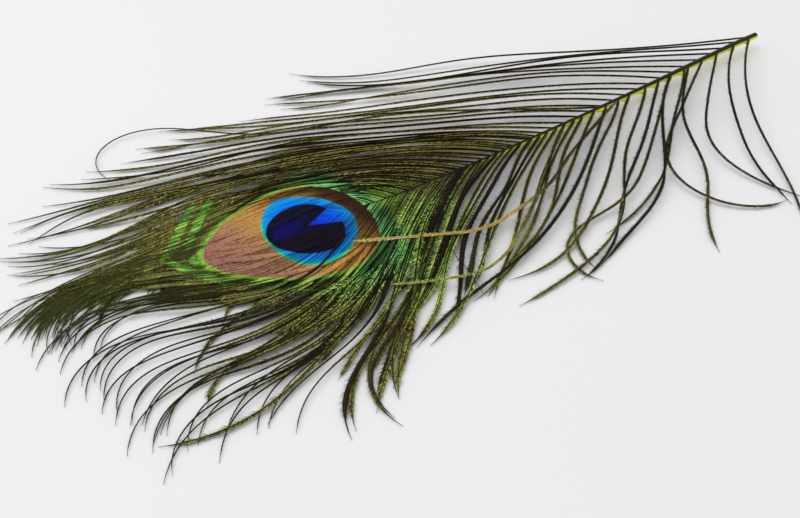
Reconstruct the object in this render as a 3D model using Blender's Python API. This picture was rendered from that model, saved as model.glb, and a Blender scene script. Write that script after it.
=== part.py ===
"""Peacock eye feather, trimmed to about 26 cm and lying with its eye upwards.

The frame's origin is under the middle of the eye, on the surface that the feather rests on.
+X runs to the cut end of the shaft, +Z is up, and -Y is the side of the longer, looser barbs.
One grown piece: shaft, eye vane and locks of barbs are fused into the single object "feather".
Lengths are millimetres and angles degrees, unless a comment says otherwise.
"""

import math

import bmesh
import bpy
from mathutils import Vector

MM = 0.001

# Shaft: points of its middle line (x, y, z). It lies flat through the eye, then rises and
# bends gently to the cut end.
SHAFT_POINTS = (
    (-44, 5, 0.75),
    (-30, 3, 0.75),
    (-13, 1, 0.8),
    (0, 0, 0.85),
    (22, 1.5, 1.0),
    (48, 4.5, 1.4),
    (85, 9.5, 2.6),
    (125, 16, 3.8),
    (163, 23.5, 4.5),
    (177, 26.5, 4.2),
)
SHAFT_WIDTH_CUT = 2.3
SHAFT_WIDTH_TIP = 0.5
SHAFT_SIDES = 8
STEPS_PER_SPAN = 4

# Locks: clumps of barbs that grow from both sides of the shaft, side -1 towards -Y and 1
# towards +Y. Down to LONE_FROM each lock is one barb of the table, and then they are evenly
# spaced clumps, wider away from the cut end.
LONE_FROM = {-1: 57.0, 1: 175.0}
CLUMPS = {-1: 17, 1: 29}
LAST_ROOT = -22.0
WIDTH_AT_CUT = {-1: 2.0, 1: 2.6}
WIDTH_AT_EYE = {-1: 4.0, 1: 3.4}
WIDENS_FROM_X = 150.0
WIDENS_TO_X = 75.0
LOCK_STEPS = 8
LOCK_THICKNESS = 0.9
LOCK_TOP_SHARE = 0.45
ROOT_WIDTH_SHARE = 0.42
TIP_WIDTH_SHARE = 0.25
TIP_THICKNESS_SHARE = 0.5
FULL_WIDTH_AT = 0.35
NARROWS_FROM = 0.55
TIP_CLEARANCE = 0.02
LAYER_STEP = 0.17
LAYERS = 3

# Share of a barb's length at which it has come down to the table, and how much less it
# arches towards its tip.
DOWN_AT = 0.85
ARCH_FADE = 0.4

# Eye vane: the stretch where the barbs hook together into one flat blade.
EYE_MIDDLE = (-7.0, -2.0)
EYE_HALF_LENGTH = 29.0
EYE_HALF_WIDTH = 24.0
EYE_EGG = 0.12
EYE_EDGE_HEIGHT = 1.15
EYE_CROWN = 0.55
EYE_SEGMENTS = 40
EYE_RINGS = 3

SMOOTH_UNDER = 40.0

# How a barb runs, for some roots along the shaft: x of the root, length, heading at the root,
# at each quarter and at the tip, and how far it arches up. A heading is the angle from the
# tipward direction (-X), outwards to the barb's own side.
LOWER_BARBS = (
    (174, 100, (40, 50, 65, 70, 70), 1.5),
    (166, 100, (40, 50, 65, 70, 75), 1.5),
    (157, 100, (45, 45, 50, 95, 125), 1.5),
    (141, 105, (50, 45, 50, 30, 20), 1.5),
    (135, 100, (40, 50, 50, 35, 20), 1.5),
    (129, 115, (45, 45, 40, 45, 10), 1.5),
    (123, 115, (50, 40, 50, 25, 5), 1.5),
    (116, 105, (45, 45, 45, 30, -5), 1.5),
    (106, 125, (45, 45, 35, 25, 20), 1.5),
    (96, 80, (45, 40, 45, 45, 30), 1.5),
    (89, 85, (40, 45, 40, 45, 45), 1.5),
    (82, 100, (40, 40, 50, 50, 10), 1.5),
    (76, 80, (40, 45, 35, 55, 60), 1.5),
    (69, 95, (35, 40, 45, 55, 25), 1.5),
    (63, 90, (35, 40, 50, 50, 40), 1.5),
    (57, 105, (40, 45, 50, 50, 65), 1.5),
    (49, 105, (40, 45, 55, 40, 105), 1.5),
    (45, 115, (40, 45, 50, 25, 55), 1.4),
    (39, 125, (40, 45, 40, 10, 70), 1.2),
    (35, 125, (45, 45, 35, 0, 75), 1.0),
    (32, 120, (45, 40, 30, 5, 65), 1.0),
    (26, 115, (45, 40, 10, -5, 85), 0.8),
    (20, 105, (40, 30, -10, -10, 65), 0.8),
    (16, 100, (40, 25, -10, -10, 60), 0.8),
    (11, 100, (40, 15, -25, 5, 90), 0.8),
    (4, 90, (35, 5, -25, 10, 65), 0.8),
    (-10, 75, (15, -10, -10, 20, 20), 0.8),
    (-28, 55, (10, 0, 0, 20, 30), 0.8),
)
UPPER_BARBS = (
    (175, 155, (10, 20, 20, 15, 35), 1.5),
    (166, 155, (15, 20, 15, 15, 30), 1.5),
    (140, 135, (25, 25, 20, 20, 0), 1.5),
    (131, 135, (30, 25, 15, 15, 30), 1.5),
    (123, 145, (25, 20, 15, 20, 10), 1.5),
    (111, 145, (30, 20, 20, 15, 25), 1.5),
    (95, 145, (25, 20, 20, 10, 10), 1.5),
    (87, 145, (25, 20, 20, 5, 30), 1.5),
    (77, 145, (30, 20, 15, 5, 30), 1.5),
    (69, 150, (35, 20, 10, 5, 15), 1.5),
    (58, 140, (30, 20, 5, 10, -30), 1.5),
    (52, 135, (35, 20, 10, -10, 20), 1.4),
    (45, 125, (35, 15, 5, -15, 35), 1.3),
    (38, 120, (40, 15, 0, -10, 30), 1.2),
    (32, 115, (40, 15, -10, -5, 25), 1.0),
    (25, 110, (55, 10, -20, -10, -30), 0.8),
    (16, 100, (65, -10, -5, -5, -45), 0.8),
    (8, 95, (45, -10, 5, -15, -50), 0.8),
    (-3, 80, (15, 0, 0, -15, -60), 0.8),
    (-28, 55, (-5, -5, -5, -20, -50), 0.8),
)
SIDES = {-1: LOWER_BARBS, 1: UPPER_BARBS}

# Loose barbs that leave the run of their neighbours: their side, and then a row as above.
LOOSE_BARBS = (
    (-1, (150, 105, (40, 40, 45, 110, 190), 1.5)),
    (-1, (143, 95, (45, 50, 70, 50, 70), 1.5)),
    (-1, (134, 115, (45, 45, 40, 15, 130), 1.5)),
    (-1, (111, 85, (50, 40, 45, 50, 95), 1.5)),
    (-1, (56, 95, (35, 45, 50, 55, 45), 1.5)),
    (-1, (52, 95, (40, 45, 50, 50, 50), 1.5)),
    (-1, (42, 125, (35, 50, 35, 25, -20), 1.2)),
    (1, (103, 175, (20, 25, 10, 35, -120), 1.5)),
)

# Colour of the plain solid, linear light.
BARB_GREEN = (0.09, 0.10, 0.02, 1.0)


def clear_scene():
    for old in list(bpy.data.objects):
        bpy.data.objects.remove(old, do_unlink=True)


def smooth_step(value, start, end):
    t = min(1.0, max(0.0, (value - start) / (end - start)))
    return t * t * (3 - 2 * t)


def mix(a, b, share):
    return a + (b - a) * share


def through_points(values, t):
    """The value at t, from 0 to 1, of a smooth curve through evenly spaced values."""
    last = len(values) - 1
    k = min(last - 1, int(t * last))
    f = t * last - k
    before = values[k - 1] if k > 0 else 2 * values[0] - values[1]
    after = values[k + 2] if k + 2 <= last else 2 * values[last] - values[last - 1]
    a, b, c, d = before, values[k], values[k + 1], after
    return 0.5 * (2 * b + (c - a) * f + (2 * a - 5 * b + 4 * c - d) * f**2 + (3 * b - 3 * c + d - a) * f**3)


def shaft_line():
    """Points along the middle of the shaft, from the tip to the cut end."""
    points = [Vector(p) for p in SHAFT_POINTS]
    steps = (len(points) - 1) * STEPS_PER_SPAN
    return [through_points(points, i / steps) for i in range(steps + 1)]


def on_shaft(line, x):
    """The point of the shaft's middle line at x."""
    for a, b in zip(line, line[1:]):
        if x <= b.x:
            return a.lerp(b, (x - a.x) / (b.x - a.x))
    return line[-1].copy()


def barb_row(rows, x):
    """The row of the barb with its root at x, between the two nearest rows of the table."""
    if x >= rows[0][0]:
        return (x, *rows[0][1:])
    for (x0, length0, turns0, arch0), (x1, length1, turns1, arch1) in zip(rows, rows[1:]):
        if x >= x1:
            t = (x0 - x) / (x0 - x1)
            turns = tuple(mix(a, b, t) for a, b in zip(turns0, turns1))
            return x, mix(length0, length1, t), turns, mix(arch0, arch1, t)
    return (x, *rows[-1][1:])


def barb_line(line, side, row, steps, tip_height, lift):
    """Points of a barb: it leaves the shaft, arches and comes down to the table."""
    x, length, turns, arch = row
    point = on_shaft(line, x)
    root_height = point.z
    points = [point.copy()]
    for i in range(steps):
        heading = math.radians(through_points(turns, (i + 0.5) / steps))
        t = (i + 1) / steps
        point.x -= math.cos(heading) * length / steps
        point.y += side * math.sin(heading) * length / steps
        point.z = mix(root_height, tip_height, smooth_step(t, 0.0, DOWN_AT))
        point.z += (arch * (1 - ARCH_FADE * t) + lift) * 4 * t * (1 - t)
        points.append(point.copy())
    return points


def loft(bm, rings):
    """A closed body through rings of the same number of points."""
    loops = [[bm.verts.new(p * MM) for p in ring] for ring in rings]
    for ring, following in zip(loops, loops[1:]):
        for a, b, c, d in zip(ring, ring[1:] + ring[:1], following[1:] + following[:1], following):
            bm.faces.new((a, b, c, d))
    bm.faces.new(reversed(loops[0]))
    bm.faces.new(loops[-1])


def sideways(points, i):
    """The level direction across a line at its point i."""
    along = points[min(i + 1, len(points) - 1)] - points[max(i - 1, 0)]
    return Vector((-along.y, along.x, 0.0)).normalized()


def lock_rings(points, width):
    """Cross-sections of a lock: flat below, narrower on top, widest in the middle and thin at the tip."""
    rings = []
    last = len(points) - 1
    for i, point in enumerate(points):
        t = i / last
        share = mix(ROOT_WIDTH_SHARE, 1.0, smooth_step(t, 0.0, FULL_WIDTH_AT))
        share *= mix(1.0, TIP_WIDTH_SHARE, smooth_step(t, NARROWS_FROM, 1.0))
        thickness = LOCK_THICKNESS * mix(1.0, TIP_THICKNESS_SHARE, smooth_step(t, NARROWS_FROM, 1.0))
        across = sideways(points, i) * width * share / 2
        up = Vector((0, 0, thickness / 2))
        rings.append([
            point + across - up,
            point - across - up,
            point - across * LOCK_TOP_SHARE + up,
            point + across * LOCK_TOP_SHARE + up,
        ])
    return rings


def shaft_rings(line):
    """Round cross-sections of the shaft, thinner towards its tip."""
    rings = []
    for i, point in enumerate(line):
        width = mix(SHAFT_WIDTH_TIP, SHAFT_WIDTH_CUT, smooth_step(point.x, line[0].x, line[-1].x))
        across = sideways(line, i)
        ring = []
        for k in range(SHAFT_SIDES):
            angle = 2 * math.pi * (k + 0.5) / SHAFT_SIDES
            ring.append(point - across * math.cos(angle) * width / 2 + Vector((0, 0, math.sin(angle) * width / 2)))
        rings.append(ring)
    return rings


def lock_rows(side):
    """One row for each lock of a side that keeps to the run of its neighbours."""
    table = SIDES[side]
    lone = [row for row in table if row[0] >= LONE_FROM[side]]
    spacing = (lone[-1][0] - LAST_ROOT) / CLUMPS[side]
    return lone + [barb_row(table, lone[-1][0] - spacing * (i + 1)) for i in range(CLUMPS[side])]


def finish_mesh(bm, name):
    bmesh.ops.recalc_face_normals(bm, faces=bm.faces)
    mesh = bpy.data.meshes.new(name)
    bm.to_mesh(mesh)
    bm.free()
    mesh.shade_smooth()
    mesh.set_sharp_from_angle(angle=math.radians(SMOOTH_UNDER))
    made = bpy.data.objects.new(name, mesh)
    bpy.context.scene.collection.objects.link(made)
    return made


def make_shaft_and_locks(line):
    bm = bmesh.new()
    loft(bm, shaft_rings(line))
    rows = [(side, row) for side in SIDES for row in lock_rows(side)]
    tip_height = LOCK_THICKNESS * TIP_THICKNESS_SHARE / 2 + TIP_CLEARANCE
    for i, (side, row) in enumerate(rows + list(LOOSE_BARBS)):
        widening = smooth_step(row[0], WIDENS_FROM_X, WIDENS_TO_X)
        width = mix(WIDTH_AT_CUT[side], WIDTH_AT_EYE[side], widening)
        points = barb_line(line, side, row, LOCK_STEPS, tip_height, LAYER_STEP * (i % LAYERS))
        loft(bm, lock_rings(points, width))
    return finish_mesh(bm, "feather")


def eye_outline(share, height):
    """One level ring of the eye vane, at a share of its full size."""
    ring = []
    for k in range(EYE_SEGMENTS):
        angle = 2 * math.pi * k / EYE_SEGMENTS
        across = EYE_HALF_WIDTH * math.sin(angle) * (1 + EYE_EGG * math.cos(angle))
        ring.append(Vector((
            EYE_MIDDLE[0] + EYE_HALF_LENGTH * math.cos(angle) * share,
            EYE_MIDDLE[1] + across * share,
            height,
        )))
    return ring


def make_eye_vane():
    """The blade of the eye: a thin plate with a flat underside and a low crown."""
    bm = bmesh.new()
    rings = [eye_outline(1.0, 0.0), eye_outline(1.0, EYE_EDGE_HEIGHT)]
    for k in range(EYE_RINGS):
        share = 1 - (k + 1) / (EYE_RINGS + 0.5)
        rings.append(eye_outline(share, EYE_EDGE_HEIGHT + EYE_CROWN * (1 - share**2)))
    loft(bm, rings)
    return finish_mesh(bm, "eye_vane")


def plain_material():
    material = bpy.data.materials.new("feather_barbs")
    material.use_nodes = True
    shader = material.node_tree.nodes["Principled BSDF"]
    shader.inputs["Base Color"].default_value = BARB_GREEN
    shader.inputs["Roughness"].default_value = 0.55
    shader.inputs["Metallic"].default_value = 0.0
    return material


def main():
    clear_scene()
    feather = make_shaft_and_locks(shaft_line())
    vane = make_eye_vane()
    vane.hide_render = True
    vane.display_type = "WIRE"
    union = feather.modifiers.new("fuse the eye vane", "BOOLEAN")
    union.operation = "UNION"
    union.solver = "EXACT"
    union.use_self = True
    union.object = vane
    feather.data.materials.append(plain_material())


main()
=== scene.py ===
import math

import bpy
import numpy as np
from bpy.props import FloatProperty, FloatVectorProperty, PointerProperty
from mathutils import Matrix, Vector


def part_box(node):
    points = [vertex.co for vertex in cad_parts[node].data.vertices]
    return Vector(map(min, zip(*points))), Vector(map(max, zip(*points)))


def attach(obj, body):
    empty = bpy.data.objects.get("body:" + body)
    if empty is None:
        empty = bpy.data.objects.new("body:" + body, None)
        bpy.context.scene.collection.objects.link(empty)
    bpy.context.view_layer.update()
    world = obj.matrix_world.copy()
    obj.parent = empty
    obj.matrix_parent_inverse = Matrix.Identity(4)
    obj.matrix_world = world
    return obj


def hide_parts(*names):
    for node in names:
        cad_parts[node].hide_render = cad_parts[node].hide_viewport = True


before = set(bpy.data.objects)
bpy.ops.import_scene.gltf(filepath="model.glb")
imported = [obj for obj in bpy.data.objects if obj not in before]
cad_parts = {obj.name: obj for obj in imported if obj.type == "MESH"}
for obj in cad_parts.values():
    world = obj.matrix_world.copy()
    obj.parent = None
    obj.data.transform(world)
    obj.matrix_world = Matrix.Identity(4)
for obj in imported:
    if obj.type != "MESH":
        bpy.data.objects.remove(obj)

bl_info = {
    "name": "Peacock eye feather",
    "version": (1, 0, 0),
    "blender": (4, 5, 0),
    "location": "3D View > Sidebar > Feather",
    "description": "Shaft, barbs and barbules of a peacock's eye feather lying on a pale surface",
    "category": "Object",
}

# Lengths are millimetres and angles degrees unless a comment says otherwise. +X runs to the
# cut end of the shaft, +Z is up, and the eye's middle is over the origin.
MM = 0.001
SEED = 7
BOX_LOW, BOX_HIGH = (np.array(corner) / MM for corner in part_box("feather"))

# Shaft: points of its middle line (x, y, z). Its last point is the cut end, 0.2 inside the box.
# Under the blue ring it sinks below the vane.
SHAFT_POINTS = (
    (-44, 5, 0.75),
    (-30, 3, 0.75),
    (-13, 1, 0.8),
    (0, 0, 0.85),
    (22, 1.5, 1.0),
    (48, 4.5, 1.4),
    (85, 9.5, 2.6),
    (125, 16, 3.8),
    (163, 23.5, 4.5),
    (BOX_HIGH[0] - 0.2, 26.5, 4.2),
)
STEPS_PER_SPAN = 6
SHAFT_SIDES = 20
SHAFT_WIDTH_TIP = 0.2
SHAFT_SINKS = 0.3
# Yellow-green corners where the lower barbs leave the shaft: their reach along it and outwards,
# their height, how far their top is below the shaft's middle line, and the barbs' heading.
CORNER_ALONG = 5.2
CORNER_OUT = 3.4
CORNER_HEIGHT = 0.65
CORNER_DROP = 0.1
CORNER_HEADING = 48.0
CORNERS_ABOVE_X = 44.0
CORNER_FACES = ((0, 1, 2), (5, 4, 3), (0, 3, 4, 1), (1, 4, 5, 2), (2, 5, 3, 0))

# Locks: the clumps that barbs gather into away from the eye, as on the solid. Above a first x
# each barb is a lock of its own. The locks' width grows towards the eye.
LONE_FROM = {-1: 57.0, 1: 175.0}
CLUMPS = {-1: 17, 1: 29}
LAST_ROOT = -22.0
WIDTH_AT_CUT = {-1: 2.0, 1: 2.6}
WIDTH_AT_EYE = {-1: 4.0, 1: 3.4}
WIDENS_FROM_X = 150.0
WIDENS_TO_X = 75.0
# Barbs beside each other lie in layers, a step apart midway, and in the vane a smaller step apart.
LAYER_STEP = 0.17
LAYERS = 3
VANE_STEP = 0.03
# The share of a barb where it has come down, and how much of its arch it loses to its tip.
DOWN_AT = 0.85
ARCH_FADE = 0.4

# Eye vane, as on the solid.
EYE_MIDDLE = (-7.0, -2.0)
EYE_HALF_LENGTH = 29.0
EYE_HALF_WIDTH = 24.0
EYE_EGG = 0.12
EYE_EDGE_HEIGHT = 1.15
EYE_CROWN = 0.55

# How a barb runs, for some roots along the shaft: x of the root, length, heading at the root,
# at each quarter and at the tip, and how far it arches up. A heading is the angle from the
# tipward direction (-X), outwards to the barb's own side.
LOWER_BARBS = (
    (174, 100, (40, 50, 65, 70, 70), 1.5),
    (166, 100, (40, 50, 65, 70, 75), 1.5),
    (157, 100, (45, 45, 50, 95, 125), 1.5),
    (141, 105, (50, 45, 50, 30, 20), 1.5),
    (135, 100, (40, 50, 50, 35, 20), 1.5),
    (129, 115, (45, 45, 40, 45, 10), 1.5),
    (123, 115, (50, 40, 50, 25, 5), 1.5),
    (116, 105, (45, 45, 45, 30, -5), 1.5),
    (106, 125, (45, 45, 35, 25, 20), 1.5),
    (96, 80, (45, 40, 45, 45, 30), 1.5),
    (89, 85, (40, 45, 40, 45, 45), 1.5),
    (82, 100, (40, 40, 50, 50, 10), 1.5),
    (76, 80, (40, 45, 35, 55, 60), 1.5),
    (69, 95, (35, 40, 45, 55, 25), 1.5),
    (63, 90, (35, 40, 50, 50, 40), 1.5),
    (57, 105, (40, 45, 50, 50, 65), 1.5),
    (49, 105, (40, 45, 55, 40, 105), 1.5),
    (45, 115, (40, 45, 50, 25, 55), 1.4),
    (39, 125, (40, 45, 40, 10, 70), 1.2),
    (35, 125, (45, 45, 35, 0, 75), 1.0),
    (32, 120, (45, 40, 30, 5, 65), 1.0),
    (26, 115, (45, 40, 10, -5, 85), 0.8),
    (20, 105, (40, 30, -10, -10, 65), 0.8),
    (16, 100, (40, 25, -10, -10, 60), 0.8),
    (11, 100, (40, 15, -25, 5, 90), 0.8),
    (4, 90, (35, 5, -25, 10, 65), 0.8),
    (-10, 75, (15, -10, -10, 20, 20), 0.8),
    (-28, 55, (10, 0, 0, 20, 30), 0.8),
)
UPPER_BARBS = (
    (175, 155, (10, 20, 20, 15, 35), 1.5),
    (166, 155, (15, 20, 15, 15, 30), 1.5),
    (140, 135, (25, 25, 20, 20, 0), 1.5),
    (131, 135, (30, 25, 15, 15, 30), 1.5),
    (123, 145, (25, 20, 15, 20, 10), 1.5),
    (111, 145, (30, 20, 20, 15, 25), 1.5),
    (95, 145, (25, 20, 20, 10, 10), 1.5),
    (87, 145, (25, 20, 20, 5, 30), 1.5),
    (77, 145, (30, 20, 15, 5, 30), 1.5),
    (69, 150, (35, 20, 10, 5, 15), 1.5),
    (58, 140, (30, 20, 5, 10, -30), 1.5),
    (52, 135, (35, 20, 10, -10, 20), 1.4),
    (45, 125, (35, 15, 5, -15, 35), 1.3),
    (38, 120, (40, 15, 0, -10, 30), 1.2),
    (32, 115, (40, 15, -10, -5, 25), 1.0),
    (25, 110, (55, 10, -20, -10, -30), 0.8),
    (16, 100, (65, -10, -5, -5, -45), 0.8),
    (8, 95, (45, -10, 5, -15, -50), 0.8),
    (-3, 80, (15, 0, 0, -15, -60), 0.8),
    (-28, 55, (-5, -5, -5, -20, -50), 0.8),
)
BARB_ROWS = {-1: LOWER_BARBS, 1: UPPER_BARBS}
LABELS = {-1: "lower", 1: "upper"}
LOOSE_BARBS = (
    (-1, (150, 105, (40, 40, 45, 110, 190), 1.5)),
    (-1, (143, 95, (45, 50, 70, 50, 70), 1.5)),
    (-1, (134, 115, (45, 45, 40, 15, 130), 1.5)),
    (-1, (111, 85, (50, 40, 45, 50, 95), 1.5)),
    (-1, (56, 95, (35, 45, 50, 55, 45), 1.5)),
    (-1, (52, 95, (40, 45, 50, 50, 50), 1.5)),
    (-1, (42, 125, (35, 50, 35, 25, -20), 1.2)),
    (1, (103, 175, (20, 25, 10, 35, -120), 1.5)),
)

# Where the roots of the barbs stand: x and the spacing there, from the base to the tip.
ROOT_SPACING = {
    -1: ((57, 2.3), (43, 1.15), (34, 0.68), (26, 0.6), (15, 0.58), (-6, 0.8), (-18, 1.9), (-42, 3.6)),
    1: ((175, 6.4), (100, 5.4), (60, 3.2), (45, 1.7), (34, 0.8), (15, 0.58), (-12, 0.68), (-42, 2.2)),
}
FILL_IN_BELOW_X = 110.0
GATHERED_ABOVE_X = LAST_ROOT - 2
LAST_BARB_X = -42.0
BARB_STEPS = 66
TIP_HEIGHT = 0.3
# How strongly a heading strays from the table at each of its five places, how a length differs
# from the table, and how strongly a barb's line keeps to its lock.
WANDER = np.array([0.3, 0.5, 1.0, 1.6, 3.0])
LENGTH_SPREAD = (0.88, 1.03)
HOLDS = (0.15, 0.5, 0.8)
UPPER_BASE_HOLD = 0.85

# Barbules of the barbs with roots above these x go to the pieces "base" and "middle".
BASE_ABOVE_X = 88.0
MIDDLE_ABOVE_X = 26.0
KINDS = ("base", "middle", "eye")

# Some barbs round the eye have frayed: they end early and are full to near their tips.
FRAYED_BELOW_X = {-1: 36.0, 1: 60.0}
FRAYED_SHARE = {-1: 0.24, 1: 0.4}
FRAYED_SHARE_AT_TIP = 0.5
FRAYED_AT_TIP_X = 6.0
FRAYED_LENGTH = (0.5, 0.85)

# Least and most length of the tips without full barbules: of upper barbs at the base and round
# the eye, and of lower barbs at the base, round the eye and at the tip.
UPPER_BARE = ((3, 8), (14, 40))
LOWER_BARE = {"base": (3, 9), "eye": (26, 50), "tip": (20, 40)}
LOOSE_BARE = {-1: 5, 1: 90}
BARE_ROUND_EYE_X = (-14.0, 47.0)

# Short frayed barbs that lie across the others: the first and last x of their roots, and how many
# are tried, for those that would cross the eye are left out. Their headings stray more.
SHORT_BARBS = {-1: (50.0, -14.0, 44), 1: (80.0, -14.0, 34)}
SHORT_WANDER = np.array([1, 2, 4, 8, 13])

# Strays that lie on top: their points, thickness, reach of the barbules and how golden they are.
# The last one is a thick dark barb laid along the split in the lower half of the eye: a painted shadow for
# the shade in the split.
STRAYS = (
    (
        (
            (113, 15, 3.4), (97, 5, 3.8), (80, -6, 3.9), (66, -16, 3.7), (52, -22, 3.5),
            (39, -25, 3.3), (26, -21, 3.0), (13, -16, 2.6), (6, -13.2, 2.4),
        ),
        0.36, 0.75, 1.0,
    ),
    (
        (
            (90, 11, 3.0), (69, -9, 3.4), (55, -24, 3.4), (47, -31, 3.3), (39, -37, 3.2),
            (31, -40, 3.1), (22, -39, 3.0), (12, -36, 2.9), (7, -34, 2.8),
        ),
        0.24, 0.6, 0.4,
    ),
    (((28, -28, 3.1), (27, -33, 3.2), (27, -39, 3.1), (26, -48, 2.8)), 0.14, 0.0, 0.0),
    (
        (
            (9, -8, 1.55), (5, -10.7, 1.6), (1, -13.8, 1.6), (-3, -16.8, 1.55),
            (-7, -19, 1.5), (-12, -21, 1.4), (-18, -22, 1.25),
        ),
        0.5, 0.0, 0.0,
    ),
)
STRAY_STEPS = 60

# How far barbules reach out from a barb: x of its root, and the reach towards the tip and
# towards the base of the feather.
REACH = {
    -1: (
        (-42, 0.6, 0.5), (0, 0.9, 0.75), (30, 1.05, 0.85), (60, 1.2, 0.9),
        (95, 1.05, 0.8), (135, 0.85, 0.65), (175, 0.65, 0.45),
    ),
    1: (
        (-42, 0.8, 0.7), (0, 0.9, 0.8), (30, 0.95, 0.8),
        (60, 1.05, 0.85), (100, 0.85, 0.65), (175, 0.6, 0.45),
    ),
}
# Shares of the gap to its neighbours that a barb's barbules fill, tipwards and basewards.
GAP_SHARES = (0.55, 0.45)
# The share of the barbules' reach that is a web, how far hooked webs overlap, and how much of its
# barbules a bare tip has lost. A barb that lies across the others has a narrower web.
WEB_SHARE = 0.6
WEB_OVERLAP = 0.06
BARE_LOSS = 0.78
CROSSING_WEB = 0.5
NO_NEIGHBOUR = 9.0
# Barbs hook into one web where their neighbours lie this close, or this much farther off near
# the eye. The hooks end towards the base at one x, and fade out towards the tip between two.
# Outside the eye's vane the material paints such a web dark: painted shade in the gaps between the barbs.
HOOKED_WITHIN = 1.9
HOOKED_WITHIN_MORE = 1.5
HOOKED_BELOW_X = 60.0
HOOKED_FADES_X = (-50.0, -35.0)

# Thickness of a ramus: at the roots by the cut end and by the eye, midway, at the tip, inside
# the bronze and at its edge.
RAMUS_AT_CUT = {-1: 0.33, 1: 0.25}
RAMUS_AT_EYE = {-1: 0.16, 1: 0.17}
RAMUS_MIDWAY = 0.15
RAMUS_TIP = 0.05
RAMUS_IN_BRONZE = 0.055
RAMUS_AT_BRONZE_EDGE = 0.09

# How a barbule strays from its angle and its length, how thick it is, and the shortest one made.
BARBULE_WANDER = 14.0
BARBULE_STRETCH = (0.6, 1.25)
BARBULE_THICK = 0.06
SHORTEST_REACH = 0.1
# Heights of the barbules over their barb, of the lowest web, and of the lowest point over the
# surface, and the least width that anything has.
BARBULE_LIFT = 0.11
LOWEST_WEB = 0.12
CLEARANCE = 0.02
LEAST_WIDTH = 0.02

# Rings of the eye: middle, half length, half width and how much wider it is towards the base.
# The heart has a notch between two headings from a corner. The jitter is how unevenly the rings
# cross from barb to barb, and the slope is the eye's long axis's.
BRONZE_RING = (-6.6, -2.2, 23.8, 19.3, 0.32)
BLUE_RING = (-0.3, -1.7, 12.6, 15.6, -0.17)
DARK_HEART = (-2.2, -2.0, 10.6, 11.1, 0.15)
NOTCH_CORNER = (-0.8, -0.9)
NOTCH_FROM = -13.0
NOTCH_TO = 33.0
RING_JITTER = 0.022
AXIS_SLOPE = 0.06
# Green bands on the tip side: the point that they turn round and how far they lean back.
CHEVRON_APEX = (-36.0, 2.0)
CHEVRON_SLOPE = 0.72

# Camera and lamp in metres and degrees. The camera's slant is the one that the eye's rings show.
CAMERA_PLACE = (-0.0861, -0.2226, 0.1782)
CAMERA_TURN = (51.5, 0.0, -27.0)
CAMERA_LENS = 49.455
LAMP_PLACE = (-0.3, 0.25, 0.9)
LAMP_SIZE = 1.2
LAMP_POWER = 5.0
SKY_STRENGTH = 0.92
FLOOR_SIZE = 6.0


def smooth_step(value, start, end):
    t = np.clip((value - start) / (end - start), 0.0, 1.0)
    return t * t * (3 - 2 * t)


def mix(a, b, share):
    return a + (b - a) * share


def through_points(values, t):
    """The values at t, from 0 to 1, of a smooth curve through evenly spaced values."""
    values = np.asarray(values, float)
    values = np.concatenate([[2 * values[0] - values[1]], values, [2 * values[-1] - values[-2]]])
    last = len(values) - 3
    k = np.minimum(last - 1, (t * last).astype(int))
    f = t * last - k
    if values.ndim > 1:
        f = f[:, None]
    a, b, c, d = (values[k + i] for i in range(4))
    return 0.5 * (2 * b + (c - a) * f + (2 * a - 5 * b + 4 * c - d) * f**2 + (3 * b - 3 * c + d - a) * f**3)


SHAFT_LINE = through_points(SHAFT_POINTS, np.linspace(0, 1, (len(SHAFT_POINTS) - 1) * STEPS_PER_SPAN + 1))


def on_shaft(x):
    """The point of the shaft's middle line at x."""
    return np.array([x, *(np.interp(x, SHAFT_LINE[:, 0], SHAFT_LINE[:, i]) for i in (1, 2))])


def barb_row(rows, x):
    """The row of the barb with its root at x, between the two nearest rows of the table."""
    if x >= rows[0][0]:
        return (x, *rows[0][1:])
    for (x0, length0, turns0, arch0), (x1, length1, turns1, arch1) in zip(rows, rows[1:]):
        if x >= x1:
            t = (x0 - x) / (x0 - x1)
            turns = mix(np.array(turns0), np.array(turns1), t)
            return x, mix(length0, length1, t), turns, mix(arch0, arch1, t)
    return (x, *rows[-1][1:])


def barb_line(side, row, tip_height, lift):
    """Points of a barb: it leaves the shaft, arches and comes down to the surface."""
    x, length, turns, arch = row
    root = on_shaft(x)
    t = np.arange(BARB_STEPS + 1) / BARB_STEPS
    heading = np.radians(through_points(turns, t[1:] - 0.5 / BARB_STEPS))
    run = np.concatenate([[0.0], np.cumsum(np.cos(heading))]) * length / BARB_STEPS
    out = np.concatenate([[0.0], np.cumsum(np.sin(heading))]) * length / BARB_STEPS
    height = mix(root[2], tip_height, smooth_step(t, 0.0, DOWN_AT))
    height += (arch * (1 - ARCH_FADE * t) + lift) * 4 * t * (1 - t)
    return np.stack([root[0] - run, root[1] + side * out, height], axis=1)


def eye_share(x, y):
    """1 on the outline of the eye vane, less inside it."""
    u = (x - EYE_MIDDLE[0]) / EYE_HALF_LENGTH
    return np.hypot(u, (y - EYE_MIDDLE[1]) / (EYE_HALF_WIDTH * (1 + EYE_EGG * np.clip(u, -1.0, 1.0))))


def ring_share(ring, x, y):
    """1 on the outline of a ring of the eye, less inside it."""
    middle_x, middle_y, half_length, half_width, egg = ring
    u = (x - middle_x) / half_length
    return np.hypot(u, (y - middle_y) / (half_width * np.maximum(0.3, 1 + egg * u)))


def heart_depth(x, y):
    """How far inside the dark heart of the eye a point lies, less than 0 outside it."""
    inside = (1 - ring_share(DARK_HEART, x, y)) * DARK_HEART[2]
    dx, dy = x - NOTCH_CORNER[0], y - NOTCH_CORNER[1]
    start, end = math.radians(NOTCH_FROM), math.radians(NOTCH_TO)
    above = dy * math.cos(start) - dx * math.sin(start)
    below = dx * math.sin(end) - dy * math.cos(end)
    return np.minimum(inside, -np.minimum(above, below))


def eye_height(x, y):
    """Height of the eye vane, which is crowned over its middle."""
    return EYE_EDGE_HEIGHT + EYE_CROWN * (1 - np.minimum(1.0, eye_share(x, y)) ** 2)


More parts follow.
